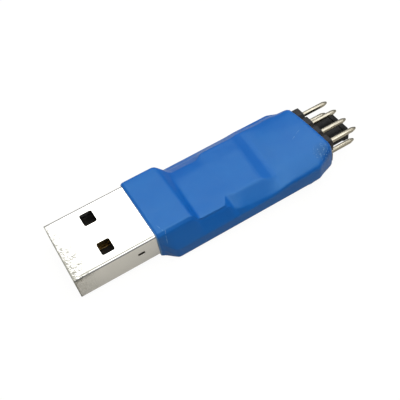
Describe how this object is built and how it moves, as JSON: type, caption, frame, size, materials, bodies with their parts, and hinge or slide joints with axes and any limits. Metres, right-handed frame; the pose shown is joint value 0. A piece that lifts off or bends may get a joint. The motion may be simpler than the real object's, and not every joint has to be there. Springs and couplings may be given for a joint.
{
  "type": "usb to serial adapter module",
  "caption": "Slim serial adapter: a metal-shelled plug at one end, a board shrunk into a blue sleeve, and a double row of header pins with a pull-off jumper at the other.",
  "frame": {"origin": "centre of the bounding box in plan, at the height of the lowest face, which is the sleeve under the pin header", "axes": "+X from the mouth of the plug to the tips of the pins, +Z square to the plug and board, upwards on the side with the latch windows, +Y to the left of someone looking along +X"},
  "size_m": [0.0514, 0.0154, 0.0076],
  "materials": {
    "plated_shell": "bright nickel-plated folded steel, fine handling scratches",
    "black_moulding": "satin glass-filled moulding",
    "gold_contact": "thin gold over copper alloy",
    "board": "solder-masked glass laminate",
    "can": "satin metal can",
    "chip": "moulded epoxy",
    "lead": "tinned",
    "tantalum": "moulded orange resin",
    "ceramic": "fired ceramic",
    "resistor": "glazed",
    "lamp": "clear resin",
    "solder": "smooth solder",
    "header_plastic": "satin moulding",
    "pin": "tinned square wire, slightly dulled",
    "jumper_plastic": "satin moulding",
    "jumper_spring": "spring brass",
    "sleeve": "satin shrunk polyolefin film"
  },
  "bodies": {
    "module": {"plug_shell": "plated_shell", "plug_insulator": "black_moulding", "contact_power": "gold_contact", "contact_data_minus": "gold_contact", "contact_data_plus": "gold_contact", "contact_ground": "gold_contact", "circuit_board": "board", "crystal_can": "can", "crystal_base": "chip", "chip_body": "chip", "chip_leads": "lead", "voltage_regulator": "chip", "storage_capacitor": "tantalum", "ceramic_capacitors": "ceramic", "resistors": "resistor", "status_lamps": "lamp", "plug_solder": "solder", "header_solder": "solder", "header_body": "header_plastic", "pin_upper_1": "pin", "pin_upper_2": "pin", "pin_upper_3": "pin", "pin_upper_4": "pin", "pin_lower_1": "pin", "pin_lower_2": "pin", "pin_lower_3": "pin", "pin_lower_4": "pin", "shrink_sleeve": "sleeve"},
    "jumper": {"jumper_housing": "jumper_plastic", "jumper_clip": "jumper_spring"}
  },
  "joints": [
    {"name": "jumper_pull", "type": "slide", "parent": "module", "child": "jumper", "axis": [1, 0, 0], "range_m": [0, 0.006]}
  ]
}
